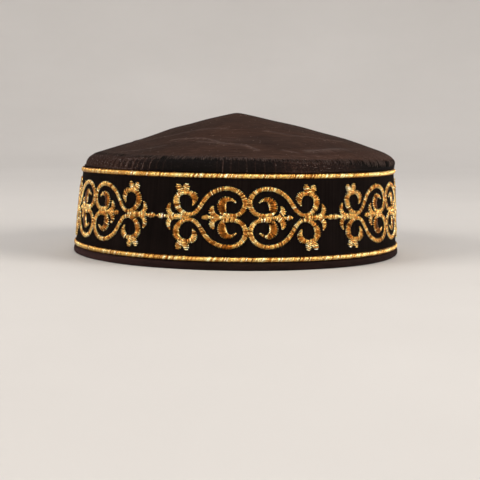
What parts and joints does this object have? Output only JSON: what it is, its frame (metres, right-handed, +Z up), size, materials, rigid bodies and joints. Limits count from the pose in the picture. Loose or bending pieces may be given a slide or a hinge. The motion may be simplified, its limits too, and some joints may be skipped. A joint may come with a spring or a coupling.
{
  "type": "tubeteika skullcap",
  "caption": "Round tubeteika skullcap: a cone-shaped dark cloth crown over a black velvet band with raised gold scrollwork between gold borders, open below for the head.",
  "frame": {"origin": "middle of the rim, on the surface that the cap rests on", "axes": "+Z up through the tip of the crown; -Y the front, where the middle of one repeat of the scrollwork lies; +X to the right seen from the front"},
  "size_m": [0.19, 0.19, 0.0808],
  "materials": {
    "crown_cloth": "matte brushed cotton with a fine grain",
    "wall_cloth": "matte stiffened cotton",
    "binding_cloth": "matte folded cotton",
    "black_velvet": "short-pile velvet",
    "gold_thread": "metallic gold embroidery thread in satin stitch"
  },
  "bodies": {
    "root": {"crown": "crown_cloth", "side_wall": "wall_cloth", "rim_binding": "binding_cloth", "velvet_tape": "black_velvet", "upper_border": "gold_thread", "lower_border": "gold_thread", "scroll_1": "gold_thread", "scroll_2": "gold_thread", "scroll_3": "gold_thread", "scroll_4": "gold_thread", "scroll_5": "gold_thread", "scroll_6": "gold_thread"}
  },
  "joints": []
}
